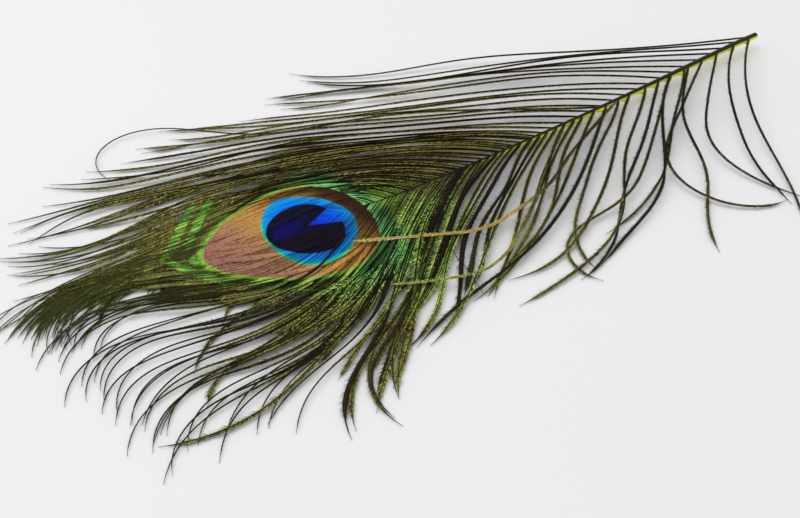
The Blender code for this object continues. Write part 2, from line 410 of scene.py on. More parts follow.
def level_across(points):
    """The level direction to the left of a line, at each of its points."""
    along = np.gradient(points, axis=0)
    along[:, 2] = 0
    along /= np.maximum(np.linalg.norm(along, axis=1), 1e-9)[:, None]
    return np.stack([-along[:, 1], along[:, 0], np.zeros(len(points))], axis=1)


def off_axis(x, y):
    """Level distance from the long axis of the eye."""
    return np.abs(y - AXIS_SLOPE * x)


class Barb:
    """One barb: its line, and what grows along it."""

    def __init__(self, side, points, tint, bare, kind=None):
        root_x = points[0][0]
        self.side = side
        self.points = points
        self.kind = kind or KINDS[int(root_x <= BASE_ABOVE_X) + int(root_x <= MIDDLE_ABOVE_X)]
        self.tint = tint
        self.bare = bare
        self.gold = np.zeros(len(points))
        steps = np.linalg.norm(np.diff(points, axis=0), axis=1)
        self.share = np.concatenate([[0.0], np.cumsum(steps)]) / steps.sum()
        self.across = level_across(points) * side


def lone_rows(side):
    """The rows of the barbs of a side that stand alone at the base."""
    return [row for row in BARB_ROWS[side] if row[0] >= LONE_FROM[side]]


def lock_rows(side):
    """One row for each lock of a side that keeps to the run of its neighbours."""
    lone = lone_rows(side)
    spacing = (lone[-1][0] - LAST_ROOT) / CLUMPS[side]
    roots = [lone[-1][0] - spacing * (i + 1) for i in range(CLUMPS[side])]
    return lone + [barb_row(BARB_ROWS[side], x) for x in roots]


def root_places(side, rng):
    """Roots along the shaft from the cut end to the tip: x, and whether the barb stands alone."""
    lone = [row[0] for row in lone_rows(side)]
    places = []
    for a, b in zip(lone, lone[1:] + [None]):
        places.append((a, True))
        if b is not None and a < FILL_IN_BELOW_X:
            places.append((mix(a, b, rng.uniform(0.4, 0.6)), True))
    x = lone[-1]
    stations, gaps = np.array(ROOT_SPACING[side])[::-1].T
    while True:
        x -= np.interp(x, stations, gaps) * rng.uniform(0.85, 1.15)
        if x < LAST_BARB_X:
            return places
        places.append((x, False))


def bare_length(side, x, rng):
    """Length of a barb's tip without full barbules."""
    if side > 0:
        at_base, round_eye = (rng.uniform(*bare) for bare in UPPER_BARE)
        return mix(at_base, round_eye, smooth_step(x, 120.0, 20.0))
    last, first = BARE_ROUND_EYE_X
    return rng.uniform(*LOWER_BARE["base" if x >= first else "eye" if x > last else "tip"])


def gather(side, x, points, locks, rng):
    """Draws a barb's line over to the nearest lock of its side, from where it leaves the eye."""
    share = np.linspace(0, 1, BARB_STEPS + 1)
    lock_x = np.array([row[0] for row in locks])
    k = int(np.argmin(abs(lock_x - x)))
    guide = barb_line(side, locks[k], TIP_HEIGHT, LAYER_STEP * (k % LAYERS))
    pitch = abs(lock_x[max(k, 1)] - lock_x[max(k, 1) - 1])
    place = np.clip((x - lock_x[k]) / pitch, -0.6, 0.6)
    width = mix(WIDTH_AT_CUT[side], WIDTH_AT_EYE[side], smooth_step(x, WIDENS_FROM_X, WIDENS_TO_X))
    over_eye = ring_share(BRONZE_RING, points[:, 0], points[:, 1]) < 1.4
    leaves = max(0.25, share[over_eye].max(initial=0.0))
    hold = rng.choice(HOLDS) * (0.5 if x > 30 and side < 0 else 1.0)
    if side > 0 and x > 60:
        hold = UPPER_BASE_HOLD
    pull = hold * smooth_step(share, leaves, leaves + 0.4) * (1 - 0.5 * smooth_step(share, 0.7, 1.0))
    spread = place * width * mix(1.0, 0.7, smooth_step(share, 0.55, 1.0))
    target = guide - level_across(guide) * side * spread[:, None]
    points[:, :2] += (target - points)[:, :2] * pull[:, None]


def grow_side(side):
    """Every barb of one side, in order from the cut end to the tip."""
    rng = np.random.default_rng(SEED + side)
    locks = lock_rows(side)
    share = np.linspace(0, 1, BARB_STEPS + 1)
    barbs = []
    for i, (x, alone) in enumerate(root_places(side, rng)):
        _, length, turns, arch = barb_row(BARB_ROWS[side], x)
        wander = mix(3.0, 0.6, smooth_step(x, 34.0, 18.0)) + 2.4 * smooth_step(x, 0.0, -20.0)
        turns = np.array(turns) + WANDER * rng.normal(0, wander, 5)
        length *= rng.uniform(*LENGTH_SPREAD) - 0.25 * rng.uniform() * smooth_step(x, 0.0, -15.0)
        bare = bare_length(side, x, rng)
        frayed = FRAYED_SHARE[side] if x > FRAYED_AT_TIP_X else FRAYED_SHARE_AT_TIP
        if x < FRAYED_BELOW_X[side] and rng.uniform() < frayed:
            length *= rng.uniform(*FRAYED_LENGTH)
            bare = rng.uniform(*LOWER_BARE["base"])
        lift = LAYER_STEP * (i % LAYERS) + rng.uniform(0, 0.25)
        points = barb_line(side, (x, length, turns, arch), TIP_HEIGHT, lift)
        if not alone and x > GATHERED_ABOVE_X:
            gather(side, x, points, locks, rng)
        wave = rng.normal(0, 1.0) * np.sin(share * rng.uniform(5, 9) + rng.uniform(0, 6))
        wave = wave + rng.normal(0, 1.6) * share
        free = smooth_step(ring_share(BRONZE_RING, points[:, 0], points[:, 1]), 1.2, 1.7)
        points += level_across(points) * (wave * free * share)[:, None]
        inside = smooth_step(eye_share(points[:, 0], points[:, 1]), 1.18, 0.95)
        vane_height = eye_height(points[:, 0], points[:, 1]) + VANE_STEP * (i % 2)
        points[:, 2] = mix(points[:, 2], vane_height, inside)
        barbs.append(Barb(side, points, rng.uniform(), bare / length))
    return barbs


def short_barbs(side):
    """Short frayed barbs that lie across the others and keep their barbules to the tip."""
    rng = np.random.default_rng(SEED * 10 + side)
    made = []
    for x in np.linspace(*SHORT_BARBS[side]):
        _, length, turns, arch = barb_row(BARB_ROWS[side], x + rng.uniform(-1, 1))
        turns = np.array([*turns[:4], turns[3]]) + rng.normal(0, 1, 5) * SHORT_WANDER
        row = (x, length * rng.uniform(0.55, 0.85), turns, arch)
        points = barb_line(side, row, 0.4, rng.uniform(0.2, 0.8))
        if ring_share(BRONZE_RING, *points[:, :2].T).min() > 1.04:
            made.append(Barb(side, points, rng.uniform(0, 0.85), 3 / length))
    return made


def nearest(points, others):
    """Level distance from each point to the nearest stretch of another barb."""
    a, b = others[:-1, :2], others[1:, :2]
    ab = b - a
    p = points[:, None, :2]
    f = np.clip(((p - a) * ab).sum(-1) / np.maximum((ab**2).sum(-1), 1e-9), 0, 1)
    return np.linalg.norm(p - (a + ab * f[..., None]), axis=-1).min(axis=1)


def vane_share(x, y):
    """1 where the barbules hook into a smooth vane, 0 where they are loose."""
    edge = 1.4 + 0.5 * smooth_step(x, -14.0, -22.0)
    return smooth_step(ring_share(BRONZE_RING, x, y), edge, edge - 0.3)


def evened(values, reach=3):
    """Values along a line with their jumps spread over the points beside them."""
    window = np.ones(2 * reach + 1) / (2 * reach + 1)
    return np.convolve(np.pad(values, reach, mode="edge"), window, "valid")


def ramus_thickness(barb, ring, gaps):
    """How thick a ramus is along its barb: it thins to its tip, in the eye and beside the eye's axis."""
    x, y, root_x = barb.points[:, 0], barb.points[:, 1], barb.points[0, 0]
    root = mix(RAMUS_AT_CUT[barb.side], RAMUS_AT_EYE[barb.side], smooth_step(root_x, 75.0, 25.0))
    loose = mix(root, RAMUS_MIDWAY, smooth_step(barb.share, 0.4, 0.8))
    loose = mix(loose, RAMUS_TIP, smooth_step(barb.share, 0.9, 1.0))
    loose *= 1 - 0.4 * smooth_step(x, -35.0, -55.0) * smooth_step(root_x, 10.0, -5.0)
    fine = mix(RAMUS_IN_BRONZE, RAMUS_AT_BRONZE_EDGE, smooth_step(ring, 0.98, 1.08))
    thick = mix(loose, np.minimum(fine, 0.1 * gaps), barb.vane)
    thick *= mix(1.0, smooth_step(barb.share, -0.1, 0.15), smooth_step(root_x, 60.0, 30.0))
    return thick * (1 - 0.6 * smooth_step(off_axis(x, y), 5.0, 0.5) * smooth_step(ring, 1.7, 1.3))


def clothe(barb, ahead, behind):
    """Gives a barb its web, its barbules and its thickness, from the distances to its neighbours."""
    x, y = barb.points[:, 0], barb.points[:, 1]
    ring = ring_share(BRONZE_RING, x, y)
    barb.vane = vane_share(x, y)
    barb.lift = 0.2 * smooth_step(ring, 1.05, 1.2)
    full = 1 - BARE_LOSS * smooth_step(barb.share, 1 - barb.bare * 1.3, 1 - barb.bare * 0.5)
    grown = smooth_step(barb.share, -0.01, 0.04) * full * smooth_step(barb.share, 1.0, 0.96)

    widest = HOOKED_WITHIN + HOOKED_WITHIN_MORE * smooth_step(ring, 2.2, 1.8)
    close = smooth_step(np.maximum(ahead, behind), widest, widest - 0.8)
    close = close * smooth_step(x, *HOOKED_FADES_X) * (x < HOOKED_BELOW_X)
    thick_enough = np.maximum(smooth_step(full, 0.5, 1.0), smooth_step(ring, 2.0, 1.7))
    hooked = np.maximum(barb.vane, evened(close * thick_enough)) * smooth_step(barb.share, 1.0, 0.8)

    stations, *reaches = np.array(REACH[barb.side]).T
    least = 0.5 - 0.25 * close
    most = 0.9 + 0.6 * barb.vane
    webs, hairs = [], []
    for along, share, gap in zip(reaches, GAP_SHARES, (ahead, behind)):
        reach = np.interp(x[0], stations, along)
        hair = np.minimum(reach, np.maximum(least * reach, share * gap)) * grown
        webs.append(mix(hair * WEB_SHARE, np.minimum(most, 0.5 * gap + WEB_OVERLAP), hooked))
        hairs.append(hair * smooth_step(ring, 1.1, 1.3))
    barb.tipward, barb.baseward = webs
    barb.hair_out, barb.hair_in = hairs
    barb.thick = ramus_thickness(barb, ring, ahead + behind)


def stray_barb(line, thick, reach, gold):
    """A barb that runs through its own points."""
    points = through_points(line, np.linspace(0, 1, STRAY_STEPS + 1))
    barb = Barb(-1, points, 0.5, 0.1, "middle")
    grown = smooth_step(barb.share, 0.0, 0.08) * smooth_step(barb.share, 1.0, 0.97)
    barb.vane = np.zeros(len(points))
    barb.lift = 0.05
    barb.tipward = barb.baseward = reach * 0.75 * grown
    barb.hair_out = barb.hair_in = reach * grown
    barb.thick = thick * mix(1.0, 0.6, barb.share) * smooth_step(barb.share, -0.03, 0.25)
    barb.thick *= smooth_step(barb.share, 1.02, 0.95)
    barb.gold = gold * smooth_step(barb.share, 0.48, 0.62)
    return barb


def side_barbs(side):
    """Every barb of one side, clothed: those in the run, the short ones, the loose ones and the strays."""
    barbs = grow_side(side)
    for i, barb in enumerate(barbs):
        ahead = nearest(barb.points, barbs[i + 1].points) if i + 1 < len(barbs) else 1.0
        behind = nearest(barb.points, barbs[i - 1].points) if i else NO_NEIGHBOUR
        clothe(barb, ahead, behind)
    extra = short_barbs(side)
    rng = np.random.default_rng(SEED + 50)
    for own_side, row in LOOSE_BARBS:
        tint = rng.uniform()
        if own_side == side:
            line = barb_line(side, row, TIP_HEIGHT, 0.3)
            extra.append(Barb(side, line, tint, LOOSE_BARE[side] / row[1]))
    for barb in extra:
        clothe(barb, NO_NEIGHBOUR, NO_NEIGHBOUR)
        barb.vane *= 0
        barb.tipward = np.minimum(barb.tipward, CROSSING_WEB)
        barb.baseward = np.minimum(barb.baseward, CROSSING_WEB)
    strays = [stray_barb(*stray) for stray in STRAYS] if side < 0 else []
    return barbs + extra + strays


def new_object(name, data):
    """A new object of the scene, at the origin."""
    made = bpy.data.objects.new(name, data)
    bpy.context.scene.collection.objects.link(made)
    return made


def store(mesh, marks):
    """Stores values at a mesh's points by name, for trees and materials to read."""
    for name, values in marks.items():
        attribute = mesh.attributes.new(name, "FLOAT", "POINT")
        attribute.data.foreach_set("value", np.asarray(values, np.float32))


def path_object(barbs, part):
    """The lines of some barbs as one mesh of edges: rami, middles of webs or roots of barbules."""
    points, edges, values = [], [], {}
    start = 0
    for barb in barbs:
        line = barb.points.copy()
        width = barb.thick
        if part == "barbules":
            line[:, 2] += BARBULE_LIFT
        elif part == "webs":
            line += barb.across * ((barb.tipward - barb.baseward) / 2)[:, None]
            width = (barb.tipward + barb.baseward) / 2
            line[:, 2] = np.maximum(line[:, 2], LOWEST_WEB)
        else:
            line[:, 2] = np.maximum(line[:, 2] + width * 0.5 + barb.lift, width + CLEARANCE)
        count = len(line)
        points.append(line)
        edges += [(start + i, start + i + 1) for i in range(count - 1)]
        start += count
        for key, value in {
            "width": np.maximum(width, LEAST_WIDTH) * MM,
            "along": barb.share,
            "tint": np.full(count, barb.tint),
            "vane": barb.vane,
            "hair_out": barb.hair_out * MM,
            "hair_in": barb.hair_in * MM,
            "gold": barb.gold,
            "side": np.full(count, float(barb.side)),
        }.items():
            values.setdefault(key, []).append(value)
    mesh = bpy.data.meshes.new(part)
    mesh.from_pydata(np.concatenate(points) * MM, edges, [])
    store(mesh, {key: np.concatenate(parts) for key, parts in values.items()})
    return new_object(part, mesh)


def linear(colour):
    """An sRGB hex colour as linear light, with full alpha."""
    values = [int(colour[i : i + 2], 16) / 255 for i in (1, 3, 5)]
    return (*(v / 12.92 if v <= 0.04045 else ((v + 0.055) / 1.055) ** 2.4 for v in values), 1.0)


def add_node(tree, kind, inputs=None, stops=None, **settings):
    """Adds a node with its settings, its ramp's stops and its inputs.

    A node given as an input links its first output. A stop's colour may be hex.
    """
    node = tree.nodes.new(kind)
    for name, value in settings.items():
        setattr(node, name, value)
    for i, (place, colour) in enumerate((stops or {}).items()):
        elements = node.color_ramp.elements
        element = elements[i] if i < 2 else elements.new(place)
        element.position = place
        element.color = linear(colour) if isinstance(colour, str) else colour
    for name, value in (inputs or {}).items():
        socket = node.inputs[name]
        if isinstance(value, bpy.types.Node):
            value = value.outputs[0]
        if isinstance(value, bpy.types.NodeSocket):
            tree.links.new(value, socket)
        else:
            socket.default_value = value
    return node


def new_tree(name, sizes):
    """A geometry tree with a path going in, a mesh coming out and named inputs for its sizes."""
    tree = bpy.data.node_groups.new(name, "GeometryNodeTree")
    tree.interface.new_socket("Paths", in_out="INPUT", socket_type="NodeSocketGeometry")
    for label, kind in sizes:
        tree.interface.new_socket(label, in_out="INPUT", socket_type="NodeSocket" + kind)
    tree.interface.new_socket("Pieces", in_out="OUTPUT", socket_type="NodeSocketGeometry")
    return tree


def strand_tree():
    """Sweeps a thin section along every path, as wide as the path's own width says."""
    tree = new_tree("Strands along barbs", [("Sides", "Int"), ("Flatness", "Float"), ("Finish", "Material")])
    group = add_node(tree, "NodeGroupInput").outputs
    width = add_node(tree, "GeometryNodeInputNamedAttribute", {"Name": "width"}, data_type="FLOAT")
    curve = add_node(tree, "GeometryNodeMeshToCurve", {"Mesh": group["Paths"]})
    level = add_node(tree, "GeometryNodeSetCurveNormal", {"Curve": curve}, mode="Z_UP")
    circle = add_node(tree, "GeometryNodeCurvePrimitiveCircle", {"Resolution": group["Sides"], "Radius": 1.0})
    flat = add_node(tree, "ShaderNodeCombineXYZ", {0: 1.0, 1: group["Flatness"], 2: 1.0})
    section = add_node(tree, "GeometryNodeTransform", {"Geometry": circle, "Scale": flat})
    place = add_node(tree, "GeometryNodeInputPosition")
    parts = add_node(tree, "ShaderNodeSeparateXYZ", {0: place})
    marked = add_node(
        tree,
        "GeometryNodeStoreNamedAttribute",
        {"Geometry": section, "Name": "across", "Value": parts},
        data_type="FLOAT",
        domain="POINT",
    )
    swept = add_node(
        tree,
        "GeometryNodeCurveToMesh",
        {"Curve": level, "Profile Curve": marked, "Scale": width, "Fill Caps": True},
    )
    real = add_node(tree, "GeometryNodeRealizeInstances", {"Geometry": swept})
    done = add_node(tree, "GeometryNodeSetMaterial", {"Geometry": real, "Material": group["Finish"]})
    add_node(tree, "NodeGroupOutput", {"Pieces": done})
    return tree


def barbule_tree():
    """Sets a row of thin barbules along both sides of every path."""
    sizes = [(label, "Float") for label in ("Pitch", "Width", "Angle")]
    tree = new_tree("Barbules along barbs", [*sizes, ("Seed", "Int"), ("Finish", "Material")])
    group = add_node(tree, "NodeGroupInput").outputs
    curve = add_node(tree, "GeometryNodeMeshToCurve", {"Mesh": group["Paths"]})
    level = add_node(tree, "GeometryNodeSetCurveNormal", {"Curve": curve}, mode="Z_UP")
    spacing = {"Curve": level, "Length": group["Pitch"]}
    spaced = add_node(tree, "GeometryNodeCurveToPoints", spacing, mode="LENGTH")
    turned = add_node(
        tree,
        "FunctionNodeAxesToRotation",
        {0: spaced.outputs["Tangent"], 1: spaced.outputs["Normal"]},
        primary_axis="X",
        secondary_axis="Y",
    )
    # A barbule is a sliver with a three-cornered root, 1 m long before it is scaled.
    cone = add_node(
        tree, "GeometryNodeMeshCone", {"Vertices": 3, "Radius Top": 0.0, "Radius Bottom": 0.5, "Depth": 1.0}
    )
    slim = add_node(tree, "ShaderNodeCombineXYZ", {0: BARBULE_THICK * MM, 1: group["Width"], 2: 1.0})
    sliver = add_node(
        tree,
        "GeometryNodeTransform",
        {"Geometry": cone, "Rotation": (0.0, math.radians(90), 0.0), "Scale": slim},
    )
    rows = []
    for number, (hair, turn) in enumerate((("hair_out", -1.0), ("hair_in", 1.0))):
        seed = add_node(tree, "ShaderNodeMath", {0: group["Seed"], 1: number * 10.0}, operation="ADD")
        reach = add_node(tree, "GeometryNodeInputNamedAttribute", {"Name": hair}, data_type="FLOAT")
        side = add_node(tree, "GeometryNodeInputNamedAttribute", {"Name": "side"}, data_type="FLOAT")
        grown = add_node(tree, "ShaderNodeMath", {0: reach, 1: SHORTEST_REACH * MM}, operation="GREATER_THAN")
        strays = math.radians(BARBULE_WANDER)
        wander, stretch, fleck = (
            add_node(tree, "FunctionNodeRandomValue", {2: least, 3: most, "Seed": seed}).outputs[1]
            for least, most in ((-strays, strays), BARBULE_STRETCH, (0.0, 1.0))
        )
        leaning = add_node(tree, "ShaderNodeMath", {0: group["Angle"]}, operation="SINE")
        slant = add_node(tree, "ShaderNodeMath", {0: reach, 1: leaning}, operation="DIVIDE")
        length = add_node(tree, "ShaderNodeMath", {0: slant, 1: stretch}, operation="MULTIPLY")
        angle = add_node(tree, "ShaderNodeMath", {0: group["Angle"], 1: wander}, operation="ADD")
        sided = add_node(tree, "ShaderNodeMath", {0: side, 1: turn}, operation="MULTIPLY")
        signed = add_node(tree, "ShaderNodeMath", {0: angle, 1: sided}, operation="MULTIPLY")
        yaw = add_node(tree, "FunctionNodeAxisAngleToRotation", {"Axis": (0.0, 0.0, 1.0), "Angle": signed})
        aimed = add_node(
            tree, "FunctionNodeRotateRotation", {"Rotation": turned, "Rotate By": yaw}, rotation_space="LOCAL"
        )
        scale = add_node(tree, "ShaderNodeCombineXYZ", {0: length, 1: 1.0, 2: 1.0})
        row = add_node(
            tree,
            "GeometryNodeInstanceOnPoints",
            {"Points": spaced, "Selection": grown, "Instance": sliver, "Rotation": aimed, "Scale": scale},
        )
        rows.append(
            add_node(
                tree,
                "GeometryNodeStoreNamedAttribute",
                {"Geometry": row, "Name": "fleck", "Value": fleck},
                data_type="FLOAT",
                domain="INSTANCE",
            )
        )
    both = add_node(tree, "GeometryNodeJoinGeometry")
    for row in reversed(rows):
        tree.links.new(row.outputs[0], both.inputs["Geometry"])
    real = add_node(tree, "GeometryNodeRealizeInstances", {"Geometry": both})
    done = add_node(tree, "GeometryNodeSetMaterial", {"Geometry": real, "Material": group["Finish"]})
    add_node(tree, "NodeGroupOutput", {"Pieces": done})
    return tree


def bake_tree(source, tree, sizes, name):
    """The plain mesh that a tree makes from a path object, which then goes."""
    modifier = source.modifiers.new(tree.name, "NODES")
    modifier.node_group = tree
    for item in tree.interface.items_tree:
        if item.in_out == "INPUT" and item.name in sizes:
            modifier[item.identifier] = sizes[item.name]
    source.update_tag()
    graph = bpy.context.evaluated_depsgraph_get()
    mesh = bpy.data.meshes.new_from_object(source.evaluated_get(graph))
    mesh.name = name
    old = source.data
    source.modifiers.remove(modifier)
    bpy.data.objects.remove(source, do_unlink=True)
    bpy.data.meshes.remove(old)
    if not mesh.polygons:
        raise RuntimeError(f"{name} came out empty")
    mark_places(mesh)
    return new_object(name, mesh)


def mark_places(mesh):
    """Lifts a mesh clear of the surface and stores where its points lie in the eye."""
    count = len(mesh.vertices)
    flat = np.empty(count * 3)
    mesh.vertices.foreach_get("co", flat)
    places = flat.reshape(-1, 3)
    places[:, 2] = np.maximum(places[:, 2], (BOX_LOW[2] + CLEARANCE) * MM)
    mesh.vertices.foreach_set("co", flat)
    tint = np.empty(count)
    mesh.attributes["tint"].data.foreach_get("value", tint)
    store(mesh, eye_marks(places[:, 0] / MM, places[:, 1] / MM, tint))


def eye_marks(x, y, tint):
    """What the materials read to colour the eye. Each barb's tint shifts its own colours a little."""
    bronze = ring_share(BRONZE_RING, x, y)
    jitter = (tint - 0.5) * RING_JITTER
    beside = np.abs(y - CHEVRON_APEX[1])
    fringe_edge = 1.24 + (0.16 + 0.85 * smooth_step(x, -22.0, 2.0)) * smooth_step(y, 2.0, -14.0)
    fringe_edge = fringe_edge + 0.6 * smooth_step(x, 0.0, 24.0) * smooth_step(y, 16.0, 4.0)
    emerald_edge = 1.3 + 0.3 * smooth_step(y, -10.0, -22.0)
    tipside = smooth_step(x, -12.0, -20.0) * smooth_step(bronze, 1.04, 1.1)
    tipside = tipside * smooth_step(beside, 24.0, 16.0) * (1 - 0.7 * smooth_step(y, -8.0, -15.0))
    # The chevron is how far basewards of the bands' outline a point lies, the sweep how far along
    # the bronze's shading, and the rim is where the blue ring has a green edge.
    return {
        "bronze": bronze + jitter,
        "blue": ring_share(BLUE_RING, x, y) + jitter,
        "heart": heart_depth(x, y) + jitter * 8,
        "fringe": smooth_step(bronze + (tint - 0.5) * 0.25, fringe_edge, mix(fringe_edge, 1.0, 0.75)),
        "emerald": smooth_step(bronze, emerald_edge, 1.05) * smooth_step(x + 0.6 * np.abs(y), 12.0, 22.0),
        "outline": smooth_step(bronze + jitter, 1.065, 1.035) * smooth_step(x, 14.0, -2.0),
        "chevron": x - CHEVRON_APEX[0] - CHEVRON_SLOPE * beside + tint * 0.6,
        "tipside": tipside,
        "sweep": 0.9 * x + 0.35 * y,
        "rim": smooth_step(x + y, 0.0, -12.0),
        "axis": off_axis(x, y),
    }


def new_material(name, roughness, ior, specular):
    """A material whose shader has its own constants set on its own sockets."""
    material = bpy.data.materials.new(name)
    material.use_nodes = True
    shader = material.node_tree.nodes["Principled BSDF"]
    shader.inputs["Roughness"].default_value = roughness
    shader.inputs["IOR"].default_value = ior
    shader.inputs["Specular IOR Level"].default_value = specular
    return material, material.node_tree, shader.inputs["Base Color"]


# Real barbules are about 0.03 mm thick and 0.1 mm apart, too fine to show at this size. Their grain
# is drawn as coarse as it needs to show, and the brown patches are as long as a barb's loose part.
# The cloud is how far apart the board's paint is uneven.
GRAIN = 0.6
PATCH = 14.0
CLOUD = 220.0
# Ramps of colour: the places on each, from 0 to 1, and the colours there.
RAMPS = {
    "lower": {0: "#6c8044", 0.2: "#868444", 0.42: "#949648", 0.6: "#8e8a52", 0.75: "#565036", 1: "#3e3e32"},
    "upper": {0: "#727e40", 0.25: "#988f44", 0.5: "#988c46", 0.7: "#6a6038", 1: "#423c2c"},
    "golden": {0: "#8a7038", 0.5: "#c8aa60", 1: "#e8d698"},
    "green": {0: "#040e06", 0.25: "#205a26", 0.55: "#70ae40", 1: "#dcf272"},
    "teal": {0: "#04200f", 0.4: "#20a058", 1: "#7ee888"},
    "filling": {0: "#3a3a18", 1: "#98a04c"},
    "glow": {0: "#2c7a2e", 0.5: "#78c848", 1: "#c8f070"},
    "metal": {
        0: "#96665a", 0.2: "#a67858", 0.42: "#bc8d44", 0.6: "#a67a38",
        0.74: "#846429", 0.87: "#3c2416", 1: "#2c1a0d",
    },
    "water": {0.1: "#1030d0", 0.38: "#0846ee", 0.68: "#0664ea", 0.86: "#0286dc", 1: "#069cc8"},
}
# The two green bands on the tip side, across them from the tip inwards: white where they are.
BANDS = {
    0.08: "#000000", 0.15: "#ffffff", 0.37: "#ffffff", 0.43: "#000000",
    0.54: "#000000", 0.61: "#ffffff", 0.82: "#ffffff", 0.89: "#000000",
}
# Layers of colour on the barbules, each over those before it: the mark that it follows, from
# where to where, how strongly, and its ramp, its colour in the panel or its own colour.
COLOUR_LAYERS = (
    ("y", -0.005, 0.012, 1.0, "upper"),
    ("patch", 0.48, 0.66, 0.7, "brown"),
    ("tint", 0.93, 0.97, 0.8, "#3f5a44"),
    # The two speck layers are partly the barbules' own flecks and partly painted light: painted highlights on
    # lit barbules and painted shade between them.
    ("speck", 0.6, 1.0, 0.75, "olive"),
    ("speck", 0.4, 0.05, 0.85, "shade"),
    ("fringe", 0.0, 1.0, 0.95, "green"),
    ("emerald", 0.0, 1.0, 0.8, "teal"),
    ("gloomy", 0.38, 0.18, 0.92, "#1a140a"),
    ("filled", 0.0, 1.0, 1.0, "filling"),
    ("glowing", 0.0, 1.0, 1.0, "glow"),
    ("outline", 0.0, 1.0, 0.9, "lime"),
    ("bronze", 1.0, 0.985, 1.0, "metal"),
    ("grain", 0.48, 0.7, 0.6, "#3a1f10"),
    ("lined", 0.0, 1.0, 0.7, "#2a180c"),
    ("rimmed", 0.0, 1.0, 1.0, "#17c46a"),
    ("blue", 0.995, 0.965, 1.0, "water"),
    ("watered", 0.0, 1.0, 0.45, "#04246e"),
    ("heart", -0.25, 0.35, 1.0, "heart"),
    ("glimmer", 0.0, 1.0, 0.8, "#0e0a6a"),
    ("gold", 0.0, 1.0, 1.0, "golden"),
)


def barbule_keratin(name, colours, hooked):
    """Barbules of keratin with layers of melanin as they grew, hooked into a vane or loose.

    The layers split light by their spacing, which gives the eye flat strong colours without a
    mirror's gloss, and the barbs outside it a matt olive. Its flecks are partly their own and partly
    painted highlights and painted shade, and webs get painted shade at their edges and where loose.
    """
    material, tree, finish = new_material(name, 0.6, 1.55, 0.04)
    marks = read_marks(tree, hooked)
    paints = {key: tuple(getattr(colours, key)) for key in ("olive", "brown", "shade", "lime", "heart")}
    for key, source, low, high in (
        ("lower", "station", 0.0, 1.0),
        ("upper", "station", 0.0, 1.0),
        ("golden", "speck", 0.0, 1.0),
        ("green", "lively", 0.1, 1.4),
        ("teal", "lively", 0.1, 1.4),
        ("filling", "speck", 0.0, 1.0),
        ("glow", "lively", 0.3, 1.5),
        ("metal", "sweep", -26.0, 18.0),
        ("water", "blue", 0.0, 1.0),
    ):
        span = add_node(tree, "ShaderNodeMapRange", {"Value": marks[source], 1: low, 2: high})
        paints[key] = add_node(tree, "ShaderNodeValToRGB", {"Fac": span}, stops=RAMPS[key])
    colour = paints["lower"]
    for source, low, high, strength, paint in COLOUR_LAYERS:
        share = add_node(
            tree,
            "ShaderNodeMapRange",
            {"Value": marks[source], 1: low, 2: high, 3: 0.0, 4: strength},
            interpolation_type="SMOOTHSTEP",
        )
        over = paints[paint] if paint in paints else linear(paint)
        mixed = add_node(tree, "ShaderNodeMix", {0: share, 6: colour, 7: over}, data_type="RGBA")
        colour = mixed.outputs[2]
    # The webs get painted shade at their edges and where they are loose.
    if hooked:
        colour = shade_seams(tree, marks, colour, paints["shade"])
    tree.links.new(colour, finish)
    return material


def read_marks(tree, hooked):
    """What the layers of colour follow: marks on the mesh, grain, patches, and shares made of these."""
    marks = {
        key: add_node(tree, "ShaderNodeAttribute", attribute_name=key).outputs["Fac"]
        for key in (
            "tint", "vane", "gold", "fleck", "across", "bronze", "blue", "heart", "fringe",
            "emerald", "outline", "chevron", "tipside", "sweep", "rim", "axis",
        )
    }
    place = add_node(tree, "ShaderNodeTexCoord").outputs["Object"]
    marks["x"], marks["y"], _ = add_node(tree, "ShaderNodeSeparateXYZ", {0: place}).outputs
    for key, size, detail in (("grain", GRAIN, 2.0), ("patch", PATCH, 3.0)):
        scaled = {"Vector": place, "Scale": 1 / (size * MM), "Detail": detail}
        marks[key] = add_node(tree, "ShaderNodeTexNoise", scaled)
    # The speck is partly the barbules' own grain and partly painted light: high specks take painted
    # highlights, low ones painted shade, also in the green ramps through lively.
    speck = ("grain", 0.3, 0.7) if hooked else ("fleck", 0.0, 1.0)
    for key, source, low, high, most in (
        ("speck", *speck, 1.0),
        ("station", "x", float(BOX_LOW[0]) * MM, float(BOX_HIGH[0]) * MM, 1.0),
        ("higher", "y", -0.005, 0.01, 0.2),
        ("towards_base", "sweep", -16.0, 4.0, 1.0),
        ("dark_barb", "tint", 0.36, 0.26, 1.0),
        ("across_bands", "chevron", -6.0, 4.0, 1.0),
        ("inside_bands", "chevron", -2.4, 0.0, 1.0),
        ("blue_edge", "blue", 1.035, 1.01, 1.0),
        ("in_blue", "blue", 0.995, 0.965, 1.0),
        ("deep", "heart", 0.3, 3.0, 1.0),
        ("on_axis", "axis", 5.5, 0.0, 1.0),
    ):
        marks[key] = add_node(tree, "ShaderNodeMapRange", {"Value": marks[source], 1: low, 2: high, 4: most})
    marks["bands"] = add_node(tree, "ShaderNodeValToRGB", {"Fac": marks["across_bands"]}, stops=BANDS)
    lively = {0: marks["tint"], 1: 0.8, 2: marks["speck"]}
    marks["lively"] = add_node(tree, "ShaderNodeMath", lively, operation="MULTIPLY_ADD")
    for key, one, other, operation in (
        ("gloomy", "tint", "higher", "ADD"),
        ("lined", "dark_barb", "towards_base", "MULTIPLY"),
        ("glowing", "tipside", "bands", "MULTIPLY"),
        ("filled", "tipside", "inside_bands", "MULTIPLY"),
        ("rimmed", "blue_edge", "rim", "MULTIPLY"),
        ("watered", "lined", "in_blue", "MULTIPLY"),
        ("glimmer", "deep", "on_axis", "MULTIPLY"),
    ):
        marks[key] = add_node(tree, "ShaderNodeMath", {0: marks[one], 1: marks[other]}, operation=operation)
    return marks


